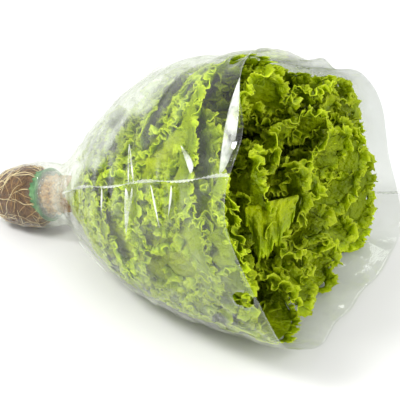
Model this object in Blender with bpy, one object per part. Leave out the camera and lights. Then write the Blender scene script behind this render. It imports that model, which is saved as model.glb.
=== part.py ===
"""Green coral lettuce, sold live with its roots, lying on its side in a clear open sleeve.

Metres, +Z up. The plant's axis runs along +X, from the root ball to the sleeve's mouth, and rises a little,
because the thin end lies lower than the wide one. The object lies on the flat underside of the sleeve.
"""

import math
import random

import bmesh
import bpy
from mathutils import Vector

# Driving dimensions
TILT = math.radians(17.0)  # rise of the axis from the root ball to the mouth
AXIS_HEIGHT = 0.0155  # height of the axis at its start, the root end
ROOT_END_X = -0.1505  # the origin is under the middle of the whole
PLANT_Y = 0.0019
SLEEVE_LENGTH = 0.287  # root end to mouth, along the axis
FILM_WALL = 0.0008  # thickened: the real film is about 0.04 mm
FILM_GAP = 0.0012  # room between the film and the roots, pot and plug
LEAF_GAP = 0.0023  # room between the film and the leaves
JOIN_GAP = 0.0004  # room between pieces that touch
ROOT_RADIUS = 0.0225  # matted roots
ROOT_START = 0.0022  # distances along the axis
ROOT_END = 0.044
ROOT_WALL = 0.0032  # thinnest mat of roots round the pot
POT_START = 0.026
POT_END = 0.056
POT_FOOT_RADIUS = 0.0165
POT_RIM_RADIUS = 0.0200
POT_WALL = 0.0012
POT_FLANGE = 0.0018
PLUG_END = 0.074
PLUG_RADIUS = 0.0155
STEM_START = 0.052
STEM_END = 0.112
STEM_RADIUS = 0.0105
LEAF_COUNT = 22
LEAF_BASE_HALF = 0.0065
BLADE_THICKNESS = 0.0007
RIB_THICKNESS = 0.0022
FRILL_HEIGHT = 0.0055  # waves of the margin, to each side
WELD_TURN = math.radians(150.0)  # direction of the near weld; the far one is opposite
WELD_HEIGHT = 0.0016
VENT_RADIUS = 0.0075
VENT_FROM_WELD = math.radians(38.0)
VENT_ALONG = 0.2755

# Sleeve outline: distance along the axis, radius
SLEEVE_OUTLINE = (
    (0.000, 0.0125), (0.005, 0.0172), (0.014, 0.0218), (0.027, 0.0250), (0.041, 0.0268), (0.056, 0.0266),
    (0.070, 0.0250), (0.083, 0.0300), (0.099, 0.0430), (0.117, 0.0570), (0.140, 0.0735), (0.167, 0.0880),
    (0.198, 0.1000), (0.234, 0.1085), (0.262, 0.1145), (0.287, 0.1160),
)
# Mouth outline: direction round the axis in degrees (0 far side, 90 up), radius over the round one's
MOUTH_OUTLINE = (
    (-90, 0.90), (-47, 1.36), (-30, 1.12), (11, 1.01), (45, 0.76), (80, 0.78), (113, 1.08), (154, 1.11),
    (195, 1.05), (238, 0.98),
)
MOUTH_SPREAD_START = 0.165  # where the round sleeve starts to take its mouth's outline
SOFT_CORNER = 9  # how sharply the sleeve's side turns into its flat underside

AXIS = Vector((math.cos(TILT), 0.0, math.sin(TILT)))
ACROSS = Vector((0.0, 1.0, 0.0))
UPWARD = Vector((-math.sin(TILT), 0.0, math.cos(TILT)))
GOLDEN_TURN = math.radians(137.508)


def clear_scene():
    for old in list(bpy.data.objects):
        bpy.data.objects.remove(old, do_unlink=True)


def make_material(name, colour, roughness, alpha=1.0):
    """A Principled material; colour is linear RGB."""
    material = bpy.data.materials.new(name)
    material.use_nodes = True
    shader = material.node_tree.nodes["Principled BSDF"]
    shader.inputs["Base Color"].default_value = (*colour, 1.0)
    shader.inputs["Roughness"].default_value = roughness
    shader.inputs["Metallic"].default_value = 0.0
    shader.inputs["Alpha"].default_value = alpha
    return material


def smooth(x):
    x = min(1.0, max(0.0, x))
    return x * x * (3.0 - 2.0 * x)


def curve_through(points, x):
    """A smooth curve through (x, y) points, by cubic Hermite pieces."""
    last = len(points) - 1
    i = max(0, min(last - 1, next((k for k in range(last) if x < points[k + 1][0]), last - 1)))
    (x0, y0), (x1, y1) = points[i], points[i + 1]
    before, after = points[max(0, i - 1)], points[min(last, i + 2)]
    slope0 = (y1 - before[1]) / (x1 - before[0])
    slope1 = (after[1] - y0) / (after[0] - x0)
    width = x1 - x0
    t = min(1.0, max(0.0, (x - x0) / width))
    return (
        (2 * t**3 - 3 * t**2 + 1) * y0
        + (t**3 - 2 * t**2 + t) * width * slope0
        + (3 * t**2 - 2 * t**3) * y1
        + (t**3 - t**2) * width * slope1
    )


def mouth_stretch(angle):
    """The mouth's radius over the round one's, in a direction round the axis."""
    degrees = math.degrees(angle)
    degrees = (degrees + 90.0) % 360.0 - 90.0
    low, high = MOUTH_OUTLINE[-2:], MOUTH_OUTLINE[:3]
    closed = (
        [(a - 360.0, f) for a, f in low] + list(MOUTH_OUTLINE) + [(a + 360.0, f) for a, f in high]
    )
    return curve_through(closed, degrees)


def axis_point(along):
    return Vector((ROOT_END_X, PLANT_Y, AXIS_HEIGHT)) + AXIS * along


def direction(angle):
    return ACROSS * math.cos(angle) + UPWARD * math.sin(angle)


def sleeve_reach(along, angle):
    """Distance from the axis to the sleeve's outside, kept above the surface it lies on."""
    radius = curve_through(SLEEVE_OUTLINE, along)
    share = smooth((along - MOUTH_SPREAD_START) / (SLEEVE_LENGTH - MOUTH_SPREAD_START))
    radius *= 1.0 + share * (mouth_stretch(angle) - 1.0)
    fall = -direction(angle).z
    if fall <= 1e-6:
        return radius
    to_surface = (axis_point(along).z + 0.0012) / fall
    return (radius**-SOFT_CORNER + to_surface**-SOFT_CORNER) ** (-1.0 / SOFT_CORNER)


def sleeve_point(along, angle, inset):
    """A point of the sleeve, inset from its outside. The underside is flat."""
    point = axis_point(along) + direction(angle) * (sleeve_reach(along, angle) - inset)
    point.z = max(point.z, inset)
    return point


def kept_inside(point, gap):
    """The point, brought in where it would be nearer to the film than the gap."""
    offset = point - axis_point(0.0)
    along = offset.dot(AXIS)
    outward = offset - AXIS * along
    angle = math.atan2(outward.dot(UPWARD), outward.dot(ACROSS))
    reach = min(outward.length, sleeve_reach(along, angle) - FILM_WALL - gap)
    kept = axis_point(along) + direction(angle) * reach
    kept.z = max(kept.z, FILM_WALL + gap)
    return kept


def head_reach(along, angle):
    """How far out the leaves may come: inside the film, and not into the mouth's low far corner."""
    rounded = curve_through(SLEEVE_OUTLINE, along)
    inside = sleeve_reach(along, angle) - FILM_WALL - LEAF_GAP
    return min(inside, rounded * 1.06)


def finish_object(name, bm, material, sharp_angle=None):
    mesh = bpy.data.meshes.new(name)
    bm.to_mesh(mesh)
    bm.free()
    mesh.materials.append(material)
    if sharp_angle is not None:
        mesh.shade_smooth()
        mesh.set_sharp_from_angle(angle=math.radians(sharp_angle))
    obj = bpy.data.objects.new(name, mesh)
    bpy.context.collection.objects.link(obj)
    return obj


def lofted(rings, closed_start, closed_end):
    """Rings of points bridged into a tube; an end is closed to one point where one is given."""
    bm = bmesh.new()
    loops = [[bm.verts.new(p) for p in ring] for ring in rings]
    count = len(loops[0])
    for low, high in zip(loops, loops[1:]):
        for k in range(count):
            bm.faces.new((low[k], low[(k + 1) % count], high[(k + 1) % count], high[k]))
    for tip, loop in ((closed_start, loops[0]), (closed_end, loops[-1])):
        if tip is None:
            continue
        centre = bm.verts.new(tip)
        for k in range(count):
            bm.faces.new((centre, loop[(k + 1) % count], loop[k]))
    bmesh.ops.triangulate(bm, faces=bm.faces[:])
    bmesh.ops.recalc_face_normals(bm, faces=bm.faces[:])
    return bm


def turned(profile, sides, ripple=None):
    """A solid turned round the axis from (along, radius) points, from axis to axis, and kept inside the film."""
    rings = []
    for along, radius in profile[1:-1]:
        ring = []
        for k in range(sides):
            angle = 2 * math.pi * k / sides
            extra = ripple(along, radius, angle) if ripple else 0.0
            point = axis_point(along) + direction(angle) * (radius + extra)
            ring.append(kept_inside(point, FILM_GAP))
        rings.append(ring)
    return lofted(rings, axis_point(profile[0][0]), axis_point(profile[-1][0]))


# Clear film sleeve: a flat bag of two panels, welded along its near and far edge.
def sleeve_columns():
    """Directions round the sleeve and how far each column stands out: the welds are narrow ridges."""
    ridge_half = math.radians(1.5)
    count = 32
    columns = []
    for k in range(count):
        angle = WELD_TURN + 2 * math.pi * k / count
        if k % (count // 2) == 0:
            columns += [(angle - ridge_half, 0.0), (angle, WELD_HEIGHT), (angle + ridge_half, 0.0)]
        else:
            columns.append((angle, 0.0))
    return columns


def make_sleeve(material):
    stations = sorted([p[0] for p in SLEEVE_OUTLINE] + [0.182, 0.215])
    foot_thickness = 0.0012
    outer, inner = [], []
    for along in stations:
        columns = sleeve_columns()
        outer.append([sleeve_point(along, angle, 0.0) + direction(angle) * raised for angle, raised in columns])
        inner.append([sleeve_point(along, angle, FILM_WALL) for angle, raised in columns])
    bm = lofted(outer + inner[::-1], axis_point(-foot_thickness), axis_point(FILM_WALL - foot_thickness))
    sleeve = finish_object("sleeve", bm, material, sharp_angle=50)
    cut_vents(sleeve)
    return sleeve


def cut_vents(sleeve):
    """Round vent holes, punched through both panels beside the near weld."""
    for name, turn in (("upper", -VENT_FROM_WELD), ("lower", VENT_FROM_WELD)):
        angle = WELD_TURN + turn
        centre = sleeve_point(VENT_ALONG, angle, FILM_WALL / 2)
        bpy.ops.mesh.primitive_cylinder_add(vertices=12, radius=VENT_RADIUS, depth=0.012, location=centre)
        cutter = bpy.context.object
        cutter.name = f"vent_cutter_{name}"
        cutter.rotation_euler = direction(angle).to_track_quat("Z", "Y").to_euler()
        cutter.hide_render = True
        cutter.display_type = "WIRE"
        cut = sleeve.modifiers.new(f"vent_{name}", "BOOLEAN")
        cut.operation = "DIFFERENCE"
        cut.object = cutter


# Root ball: roots matted round the pot, with a socket that the pot's foot stands in.
def root_strands(along, radius, angle):
    """Strands that wind over the root ball, as ridges."""
    if radius < POT_RIM_RADIUS * 1.02:
        return 0.0
    run = along / ROOT_RADIUS
    first = math.sin(5 * angle + 4.2 * run + 0.4)
    second = math.sin(3 * angle - 6.1 * run + 1.9)
    return 0.0007 * max(0.0, first) ** 2 + 0.0006 * max(0.0, second) ** 2 - 0.0008


def make_root_ball(material):
    steps = 9
    half = (ROOT_END - ROOT_START) / 2 * 1.04
    middle = ROOT_START + half
    profile = [(ROOT_START, 0.0)]
    for i in range(1, steps):
        turn = math.pi * i / (steps + 0.8)
        along = middle - half * math.cos(turn)
        radius = ROOT_RADIUS * math.sin(turn) ** 0.62
        if along > POT_START:
            radius = max(radius, pot_radius(along) + ROOT_WALL)
        profile.append((along, radius))
    profile.append((ROOT_END, pot_radius(ROOT_END) + ROOT_WALL))
    profile.append((ROOT_END, pot_radius(ROOT_END) + JOIN_GAP))
    profile.append((POT_START - JOIN_GAP, POT_FOOT_RADIUS + JOIN_GAP))
    profile.append((POT_START - JOIN_GAP, 0.0))
    bm = turned(profile, 30, root_strands)
    return finish_object("root_ball", bm, material, sharp_angle=60)


# Net pot: a small green plastic cup with ribs, held in the roots.
def pot_radius(along):
    share = (along - POT_START) / (POT_END - POT_START)
    return POT_FOOT_RADIUS + (POT_RIM_RADIUS - POT_FOOT_RADIUS) * share


def pot_ribs(along, radius, angle):
    """Upright ribs on the outside, above the roots."""
    outside = abs(radius - pot_radius(along)) < 1e-4
    if not outside or not ROOT_END + 0.001 < along < POT_END - 0.0035:
        return 0.0
    return 0.0007 if round(math.degrees(angle)) % 30 < 8 else 0.0


def make_net_pot(material):
    inside = POT_WALL
    profile = [
        (POT_START, 0.0),
        (POT_START, POT_FOOT_RADIUS - 0.001),
        (POT_START + 0.001, pot_radius(POT_START + 0.001)),
        (ROOT_END + 0.0004, pot_radius(ROOT_END + 0.0004)),
        (ROOT_END + 0.0012, pot_radius(ROOT_END + 0.0012)),
        (POT_END - 0.0040, pot_radius(POT_END - 0.0040)),
        (POT_END - 0.0034, pot_radius(POT_END - 0.0034)),
        (POT_END - 0.0026, POT_RIM_RADIUS + POT_FLANGE),
        (POT_END - 0.0008, POT_RIM_RADIUS + POT_FLANGE),
        (POT_END, POT_RIM_RADIUS + POT_FLANGE - 0.0008),
        (POT_END, POT_RIM_RADIUS - inside),
        (POT_START + inside, POT_FOOT_RADIUS - inside),
        (POT_START + inside, 0.0),
    ]
    bm = turned(profile, 48, pot_ribs)
    return finish_object("net_pot", bm, material, sharp_angle=35)


# Growing plug: a cylinder of pressed coir in the pot, with the hole that the stem grew from.
def plug_crumbs(along, radius, angle):
    if radius < STEM_RADIUS or along < POT_END:
        return 0.0
    return 0.0006 * math.sin(7 * angle + 900 * along) * math.cos(4 * angle - 500 * along)


def make_plug(material):
    foot = POT_START + POT_WALL + JOIN_GAP
    foot_radius = POT_FOOT_RADIUS - POT_WALL - JOIN_GAP
    rim_radius = POT_RIM_RADIUS - POT_WALL - 2.5 * JOIN_GAP
    hole = STEM_RADIUS * 0.62 + 2 * JOIN_GAP
    hole_floor = STEM_START - JOIN_GAP
    profile = [
        (foot, 0.0),
        (foot, foot_radius - 0.001),
        (POT_END, rim_radius),
        (POT_END + 0.004, PLUG_RADIUS),
        (PLUG_END - 0.010, PLUG_RADIUS),
        (PLUG_END - 0.005, PLUG_RADIUS - 0.0006),
        (PLUG_END - 0.0012, PLUG_RADIUS - 0.0030),
        (PLUG_END, PLUG_RADIUS - 0.0055),
        (PLUG_END, hole),
        (hole_floor, hole),
        (hole_floor, 0.0),
    ]
    bm = turned(profile, 24, plug_crumbs)
    return finish_object("growing_plug", bm, material, sharp_angle=50)


# Lettuce head: a short stem with frilled leaves in a spiral, the outer ones against the film.
class Leaf:
    """Where one leaf of the spiral sits and how large it is."""

    def __init__(self, number, draw):
        inward = number / (LEAF_COUNT - 1)
        self.turn = GOLDEN_TURN * number + draw.uniform(-0.10, 0.10)
        self.shell = 0.970 - 0.80 * inward**0.92
        self.start = 0.0765 + 0.0250 * inward
        crown = 0.268 + 0.013 * smooth(inward / 0.4) - 0.036 * smooth((inward - 0.5) / 0.5)
        self.end = crown + draw.uniform(-0.004, 0.004)
        self.half_width = 0.066 - 0.036 * smooth((inward - 0.3) / 0.7)
        self.foot = 0.0045
        self.phase = draw.uniform(0.0, 2 * math.pi)

    def point(self, length_share, sideways):
        """A point of the smooth blade: share of its length, and distance to the side of its rib."""
        along = self.start + (self.end - self.start) * length_share**0.92
        opened = smooth(length_share / 0.30)
        rough_radius = self.foot + (self.shell * curve_through(SLEEVE_OUTLINE, along) - self.foot) * opened
        angle = self.turn + sideways / math.hypot(rough_radius, 0.012)
        radius = self.foot + (self.shell * head_reach(along, angle) - self.foot) * opened
        return axis_point(along) + direction(angle) * radius

    def margin(self, share):
        """The blade's outline: share 0 at its foot and 1 at its tip, as (length share, half width)."""
        width = LEAF_BASE_HALF * (1 - share) + self.half_width * math.sin(math.pi * share**1.25) ** 0.8
        return math.sin(math.pi / 2 * share), width


def make_blade(leaf, columns, rows):
    """One leaf as a closed thin solid, its two faces split into triangles alike."""
    rib_reach = 0.80
    half = columns // 2
    sheet = bmesh.new()
    grid = {}
    for k in range(columns + 1):
        side = -1 if k < half else 1
        share = 1 - abs(k - half) / half
        edge_length, edge_width = leaf.margin(share)
        rib_length = rib_reach * share
        for j, out in enumerate(rows):
            key = (min(k, columns - k), 0) if j == 0 else (k, j)
            if key not in grid:
                length = rib_length + (edge_length - rib_length) * out
                notch = 1.0 - 0.035 * (k % 2) * out**3
                grid[key] = sheet.verts.new(leaf.point(length * notch, side * edge_width * out * notch))
            grid[(k, j)] = grid[key]
    triangles = []
    for k in range(columns):
        for j in range(len(rows) - 1):
            corners = [grid[(k, j)], grid[(k + 1, j)], grid[(k + 1, j + 1)], grid[(k, j + 1)]]
            for triple in ((0, 1, 2), (0, 2, 3)):
                chosen = [corners[i] for i in triple]
                if len(set(chosen)) == 3:
                    triangles.append(sheet.faces.new(chosen))
    bmesh.ops.recalc_face_normals(sheet, faces=sheet.faces[:])
    sheet.normal_update()
    rise = {}
    for (k, j), vert in grid.items():
        out = rows[j]
        share = 1 - abs(k - half) / half
        calm = smooth(share / 0.35)
        rise[vert] = FRILL_HEIGHT * out**1.5 * calm * math.sin(math.pi / 2 * k + leaf.phase)
    for vert, height in rise.items():
        vert.co = kept_inside(vert.co + vert.normal * height, LEAF_GAP)
    sheet.normal_update()
    thickness = {}
    for (k, j), vert in grid.items():
        share = 1 - abs(k - half) / half
        rib = RIB_THICKNESS * (1 - 0.6 * share) if j == 0 else BLADE_THICKNESS
        thickness[vert] = max(rib, BLADE_THICKNESS)
    return thickened(sheet, thickness)


def thickened(sheet, thickness):
    """The sheet given a front and a back, joined round its edge."""
    solid = bmesh.new()
    front, back = {}, {}
    for vert in sheet.verts:
        offset = vert.normal * thickness[vert] / 2
        front[vert] = solid.verts.new(vert.co + offset)
        back[vert] = solid.verts.new(vert.co - offset)
    for face in sheet.faces:
        a, b, c = face.verts
        solid.faces.new((front[a], front[b], front[c]))
        solid.faces.new((back[c], back[b], back[a]))
    for edge in sheet.edges:
        if not edge.is_boundary:
            continue
        loop = edge.link_loops[0]
        a, b = loop.vert, loop.link_loop_next.vert
        solid.faces.new((front[b], front[a], back[a]))
        solid.faces.new((front[b], back[a], back[b]))
    sheet.free()
    bmesh.ops.recalc_face_normals(solid, faces=solid.faces[:])
    return solid


def make_stem(material):
    profile = [
        (STEM_START, 0.0),
        (STEM_START, STEM_RADIUS * 0.50),
        (STEM_START + 0.003, STEM_RADIUS * 0.62),
        (PLUG_END + 0.0006, STEM_RADIUS * 0.62),
        (PLUG_END + 0.0040, STEM_RADIUS),
        (STEM_END - 0.010, STEM_RADIUS),
        (STEM_END - 0.002, STEM_RADIUS * 0.7),
        (STEM_END, 0.0),
    ]
    return finish_object("lettuce_head", turned(profile, 14), material, sharp_angle=60)


def make_head(material):
    """The stem and its leaves, joined into one body."""
    draw = random.Random(7)
    head = make_stem(material)
    blades = bpy.data.collections.new("blades")
    bpy.context.scene.collection.children.link(blades)
    for number in range(LEAF_COUNT):
        leaf = Leaf(number, draw)
        columns, rows = (32, (0.0, 0.74, 1.0)) if number < 15 else (20, (0.0, 0.45, 0.78, 1.0))
        blade = finish_object(f"blade_{number:02d}", make_blade(leaf, columns, rows), material)
        bpy.context.collection.objects.unlink(blade)
        blades.objects.link(blade)
    join = head.modifiers.new("leaves", "BOOLEAN")
    join.operation = "UNION"
    join.operand_type = "COLLECTION"
    join.collection = blades
    join.solver = "MANIFOLD"
    bpy.context.view_layer.objects.active = head
    bpy.ops.object.modifier_apply(modifier=join.name)
    for blade in list(blades.objects):
        bpy.data.objects.remove(blade, do_unlink=True)
    bpy.data.collections.remove(blades)
    keep_outer_body(head.data)
    return head


def keep_outer_body(mesh):
    """Fills the hollows that joining sealed, and drops loose scraps: the widest connected surface stays."""
    bm = bmesh.new()
    bm.from_mesh(mesh)
    unseen = set(bm.verts)
    groups = []
    while unseen:
        group, front = set(), [unseen.pop()]
        while front:
            vert = front.pop()
            group.add(vert)
            for edge in vert.link_edges:
                other = edge.other_vert(vert)
                if other in unseen:
                    unseen.remove(other)
                    front.append(other)
        groups.append(group)
    groups.sort(key=len)
    dropped = [vert for group in groups[:-1] for vert in group]
    bmesh.ops.delete(bm, geom=dropped, context="VERTS")
    bm.to_mesh(mesh)
    bm.free()


def main():
    clear_scene()
    make_sleeve(make_material("clear_film", (0.86, 0.89, 0.85), 0.12, alpha=0.25))
    make_root_ball(make_material("matted_roots", (0.22, 0.11, 0.045), 0.75))
    make_net_pot(make_material("green_plastic", (0.035, 0.16, 0.065), 0.35))
    make_plug(make_material("coir", (0.56, 0.32, 0.13), 0.9))
    make_head(make_material("lettuce_leaf", (0.36, 0.52, 0.02), 0.45))


main()
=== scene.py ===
"""Green coral lettuce with its roots, lying on its side in a clear film sleeve.

Metres, +Z up, in the row frame: +X runs from the root ball to the sleeve's open mouth.
"""

import math

import bmesh
import bpy
import numpy as np
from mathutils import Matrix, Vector


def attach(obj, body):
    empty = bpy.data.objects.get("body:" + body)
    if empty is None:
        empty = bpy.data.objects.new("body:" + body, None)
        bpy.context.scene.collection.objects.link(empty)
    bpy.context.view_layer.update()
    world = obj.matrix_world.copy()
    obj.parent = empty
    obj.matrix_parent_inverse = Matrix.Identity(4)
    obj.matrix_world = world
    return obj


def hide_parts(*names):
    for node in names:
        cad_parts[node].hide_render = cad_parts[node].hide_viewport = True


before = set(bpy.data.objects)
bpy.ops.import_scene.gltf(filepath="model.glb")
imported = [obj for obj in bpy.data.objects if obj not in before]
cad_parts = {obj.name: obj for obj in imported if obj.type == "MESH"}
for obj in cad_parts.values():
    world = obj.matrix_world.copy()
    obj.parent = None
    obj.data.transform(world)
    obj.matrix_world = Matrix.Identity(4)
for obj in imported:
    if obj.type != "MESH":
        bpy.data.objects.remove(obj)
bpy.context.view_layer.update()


# The film sleeve: a bag of clear polypropylene, made of two panels and gathered round the roots.
# The head fills it like a bell. Its underside is pressed flat where it lies, its mouth stands open, and a
# vent is punched through each panel beside the near weld.
ROOT_END = np.array([-0.1505, 0.0019, 0.0155])
TILT = math.radians(17.0)
SLEEVE_LENGTH = 0.287
SLEEVE_OUTLINE = np.array([  # distance from the root end, radius
    (-0.001, 0.0000), (0.000, 0.0110), (0.005, 0.0168), (0.014, 0.0218), (0.027, 0.0250), (0.041, 0.0268),
    (0.056, 0.0266), (0.070, 0.0250), (0.083, 0.0300), (0.099, 0.0430), (0.117, 0.0570), (0.140, 0.0735),
    (0.167, 0.0880), (0.198, 0.1000), (0.234, 0.1085), (0.262, 0.1145), (0.287, 0.1160),
])
MOUTH_OUTLINE = np.array([  # degrees round the axis, radius over the round mouth's
    (-90, 0.90), (-47, 1.36), (-30, 1.12), (11, 1.01), (45, 0.76), (80, 0.78), (113, 1.08), (154, 1.11),
    (195, 1.05), (238, 0.98),
])
MOUTH_SPREAD_START = 0.165  # from here the section changes from round to the mouth's outline
SOFT_CORNER = 9  # the higher, the sharper the turn from the round side to the flat underside
FLOOR_PRESS = 0.0012  # how far below the floor the underside aims, so that the film lies flat on it
WELD_TURN = math.radians(150.0)
VENT_RADIUS = 0.0075
VENT_FROM_WELD = math.radians(38.0)
VENT_ALONG = 0.2755
FILM_START = -0.001
ROW_SPACING = 0.88  # below 1, so that the film's rows lie closer together towards the mouth
FILM_GRID = ((180, 90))  # faces round the sleeve and along it
NECK_FOLDS = 34
PUCKERS_AT_WELD = 22
SLACK_CREASES = 26
FILM_WALL = 0.0003  # drawn thicker than the real 0.04 mm, so that the mesh is a clean solid
AXIS = np.array([math.cos(TILT), 0.0, math.sin(TILT)])
ACROSS = np.array([0.0, 1.0, 0.0])
UPWARD = np.array([-math.sin(TILT), 0.0, math.cos(TILT)])


def smooth(x):
    x = np.clip(x, 0.0, 1.0)
    return x * x * (3.0 - 2.0 * x)


def curve_through(points, x):
    """A smooth curve through (x, y) points, by cubic Hermite pieces."""
    xs, ys = points[:, 0], points[:, 1]
    last = len(xs) - 1
    i = np.clip(np.searchsorted(xs, x, side="right") - 1, 0, last - 1)
    before, after = np.maximum(i - 1, 0), np.minimum(i + 2, last)
    slope0 = (ys[i + 1] - ys[before]) / (xs[i + 1] - xs[before])
    slope1 = (ys[after] - ys[i]) / (xs[after] - xs[i])
    width = xs[i + 1] - xs[i]
    t = np.clip((x - xs[i]) / width, 0.0, 1.0)
    return (
        (2 * t**3 - 3 * t**2 + 1) * ys[i]
        + (t**3 - 2 * t**2 + t) * width * slope0
        + (3 * t**2 - 2 * t**3) * ys[i + 1]
        + (t**3 - t**2) * width * slope1
    )


def mouth_stretch(angle):
    """The mouth's radius over the round one's, in a direction round the axis."""
    degrees = (np.degrees(angle) + 90.0) % 360.0 - 90.0
    closed = np.vstack([MOUTH_OUTLINE[-2:] - (360, 0), MOUTH_OUTLINE, MOUTH_OUTLINE[:3] + (360, 0)])
    return curve_through(closed, degrees)


def axis_point(along):
    return ROOT_END + np.multiply.outer(along, AXIS)


def direction(angle):
    return np.multiply.outer(np.cos(angle), ACROSS) + np.multiply.outer(np.sin(angle), UPWARD)


def sleeve_reach(along, angle):
    """Distance from the axis to the smooth sleeve, kept above the surface it lies on."""
    radius = curve_through(SLEEVE_OUTLINE, along)
    share = smooth((along - MOUTH_SPREAD_START) / (SLEEVE_LENGTH - MOUTH_SPREAD_START))
    radius = np.maximum(radius * (1.0 + share * (mouth_stretch(angle) - 1.0)), 1e-5)
    fall = -direction(angle)[..., 2]
    to_surface = (axis_point(along)[..., 2] + FLOOR_PRESS) / np.maximum(fall, 1e-4)
    blended = (radius**-SOFT_CORNER + to_surface**-SOFT_CORNER) ** (-1.0 / SOFT_CORNER)
    return np.where(fall > 1e-4, blended, radius)


def angle_gap(angle, centre):
    """The signed turn from centre to angle, from -pi to pi."""
    return (angle - centre + math.pi) % (2 * math.pi) - math.pi


def fold(distance, width):
    """A crease: sharp along its line, fading on both sides."""
    return 1.0 / (1.0 + (distance / width) ** 2) ** 1.5


def film_folds(along, angle):
    """How far the film is drawn in towards the leaves, in metres: creases, puckers and slack."""
    draw = np.random.default_rng(11)
    radius = curve_through(SLEEVE_OUTLINE, along)
    arc = angle * radius
    inward = np.zeros(np.shape(along))
    # Folds fan out from the gathered neck.
    for k in range(NECK_FOLDS):
        centre = 2 * math.pi * (k + draw.uniform(-0.35, 0.35)) / NECK_FOLDS
        lean = draw.uniform(-1.6, 1.6)
        end = draw.uniform(0.11, 0.21)
        depth = draw.uniform(0.0006, 0.0024)
        across = angle_gap(angle, centre + lean * (along - 0.07)) * radius
        reach = smooth((along - 0.045) / 0.03) * (1 - smooth((along - 0.5 * end) / (0.5 * end)))
        inward += depth * fold(across, 0.0022) * reach
    # Puckers run out from the welds.
    for weld in (WELD_TURN, WELD_TURN + math.pi):
        for _ in range(PUCKERS_AT_WELD):
            at = draw.uniform(0.085, 0.265)
            length = draw.uniform(0.012, 0.040)
            side = draw.choice((-1.0, 1.0))
            depth = draw.uniform(0.0006, 0.0021)
            lean = draw.uniform(-0.5, 0.5)
            out = angle_gap(angle, weld) * radius * side
            line = along - at - lean * out
            reach = smooth((out + 0.002) / 0.004) * (1 - smooth(out / length))
            inward += depth * fold(line, 0.0016) * reach
    # Short slack creases lie over the leaves.
    for _ in range(SLACK_CREASES):
        centre = draw.uniform(0, 2 * math.pi)
        at = draw.uniform(0.10, 0.27)
        turn = draw.uniform(0, math.pi)
        length = draw.uniform(0.014, 0.042)
        depth = draw.uniform(0.0007, 0.0024)
        u = angle_gap(angle, centre) * radius
        w = along - at
        run = u * math.cos(turn) + w * math.sin(turn)
        off = w * math.cos(turn) - u * math.sin(turn) + 3.0 * run**2
        inward += depth * fold(off, 0.0015) * np.exp(-((run / length) ** 4))
    # Broad flats lie between tight lines.
    slack = np.zeros(np.shape(along))
    for k in range(7):
        turn = draw.uniform(0, math.pi)
        pitch = draw.uniform(0.035, 0.075)
        phase = draw.uniform(0, 2 * math.pi)
        wave = math.pi * (arc * math.cos(turn) + along * math.sin(turn)) / pitch + phase
        slack += 0.00045 * (1 - np.abs(np.sin(wave + 0.6 * np.sin(angle * 2 + k))))
    # The wrap round the root ball is tight and crumpled.
    crumple = np.zeros(np.shape(along))
    wrap_radius = 0.024
    for k in range(9):
        turn = draw.uniform(0, math.pi)
        pitch = draw.uniform(0.007, 0.017)
        phase = draw.uniform(0, 2 * math.pi)
        wave = math.pi * (angle * wrap_radius * math.cos(turn) + along * math.sin(turn)) / pitch + phase
        crumple += 0.00030 * (1 - np.abs(np.sin(wave + 0.8 * np.sin(3 * angle + k))))
    near_root = 1 - smooth((along - 0.055) / 0.03)
    return inward + slack * smooth((along - 0.07) / 0.04) + crumple * near_root * smooth(along / 0.01)


def rim_shift(angle):
    """How far the mouth's edge stands past its plane: the film was cut straight, but it hangs slack."""
    tongue = np.exp(-((angle_gap(angle, math.radians(139)) / 0.175) ** 2))
    dip = np.exp(-((angle_gap(angle, math.radians(162)) / 0.175) ** 2))
    weld_tip = np.exp(-((angle_gap(angle, math.radians(331)) / 0.22) ** 2))
    return 0.0080 * tongue - 0.0065 * dip + 0.0035 * weld_tip - 0.0015 + 0.0012 * np.sin(5 * angle + 1.0)


def film_point(across, lengthwise):
    """A point of the wrinkled film: both shares from 0 to 1, round the sleeve and from its root end."""
    angle = WELD_TURN + 2 * math.pi * across
    along = FILM_START + (SLEEVE_LENGTH - FILM_START) * lengthwise**ROW_SPACING
    along = along + 0.0045 * (1 - smooth(along / 0.030))
    along = along + rim_shift(angle) * smooth((along - 0.20) / 0.087)
    reach = sleeve_reach(along, angle)
    lip = smooth((along - 0.268) / 0.018)
    wave = 0.0016 * np.sin(7 * angle + 0.7) + 0.0012 * np.sin(12 * angle + 2.0)
    flare = 0.0042 * np.exp(-((angle_gap(angle, math.radians(146)) / 0.26) ** 2))
    reach = reach + lip * (wave + flare) - film_folds(along, angle) * np.minimum(1.0, reach / 0.02)
    point = axis_point(along) + direction(angle) * np.maximum(reach, 0.0)[..., None]
    crease = 0.00035 * (1 + np.sin(point[..., 0] * 90) * np.sin(point[..., 1] * 75 + 1))
    point[..., 2] = np.maximum(point[..., 2], 0.0002 + crease)
    return point


def mesh_piece(name, bm, materials, replaced=()):
    """A bmesh as a smooth-shaded piece on the one body and the nodes that it stands for."""
    mesh = bpy.data.meshes.new(name)
    bm.to_mesh(mesh)
    bm.free()
    for material in materials:
        mesh.materials.append(material)
    mesh.shade_smooth()
    piece = bpy.data.objects.new(name, mesh)
    bpy.context.scene.collection.objects.link(piece)
    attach(piece, "root")
    if replaced:
        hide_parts(*replaced)
    return piece


def thicken(piece, thickness, offset=0.0):
    """A wall on both sides of a sheet."""
    wall = piece.modifiers.new("wall", "SOLIDIFY")
    wall.thickness = thickness
    wall.offset = offset
    wall.use_even_offset = False
    return wall


def srgb(code):
    """A hex sRGB colour as linear RGBA."""
    values = [int(code[i : i + 2], 16) / 255 for i in (0, 2, 4)]
    return [v / 12.92 if v <= 0.04045 else ((v + 0.055) / 1.055) ** 2.4 for v in values] + [1.0]


def new_material(name):
    """A material with an empty node tree, and its output node."""
    material = bpy.data.materials.new(name)
    material.use_nodes = True
    material.node_tree.nodes.clear()
    return material, add_node(material, "ShaderNodeOutputMaterial")


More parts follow.
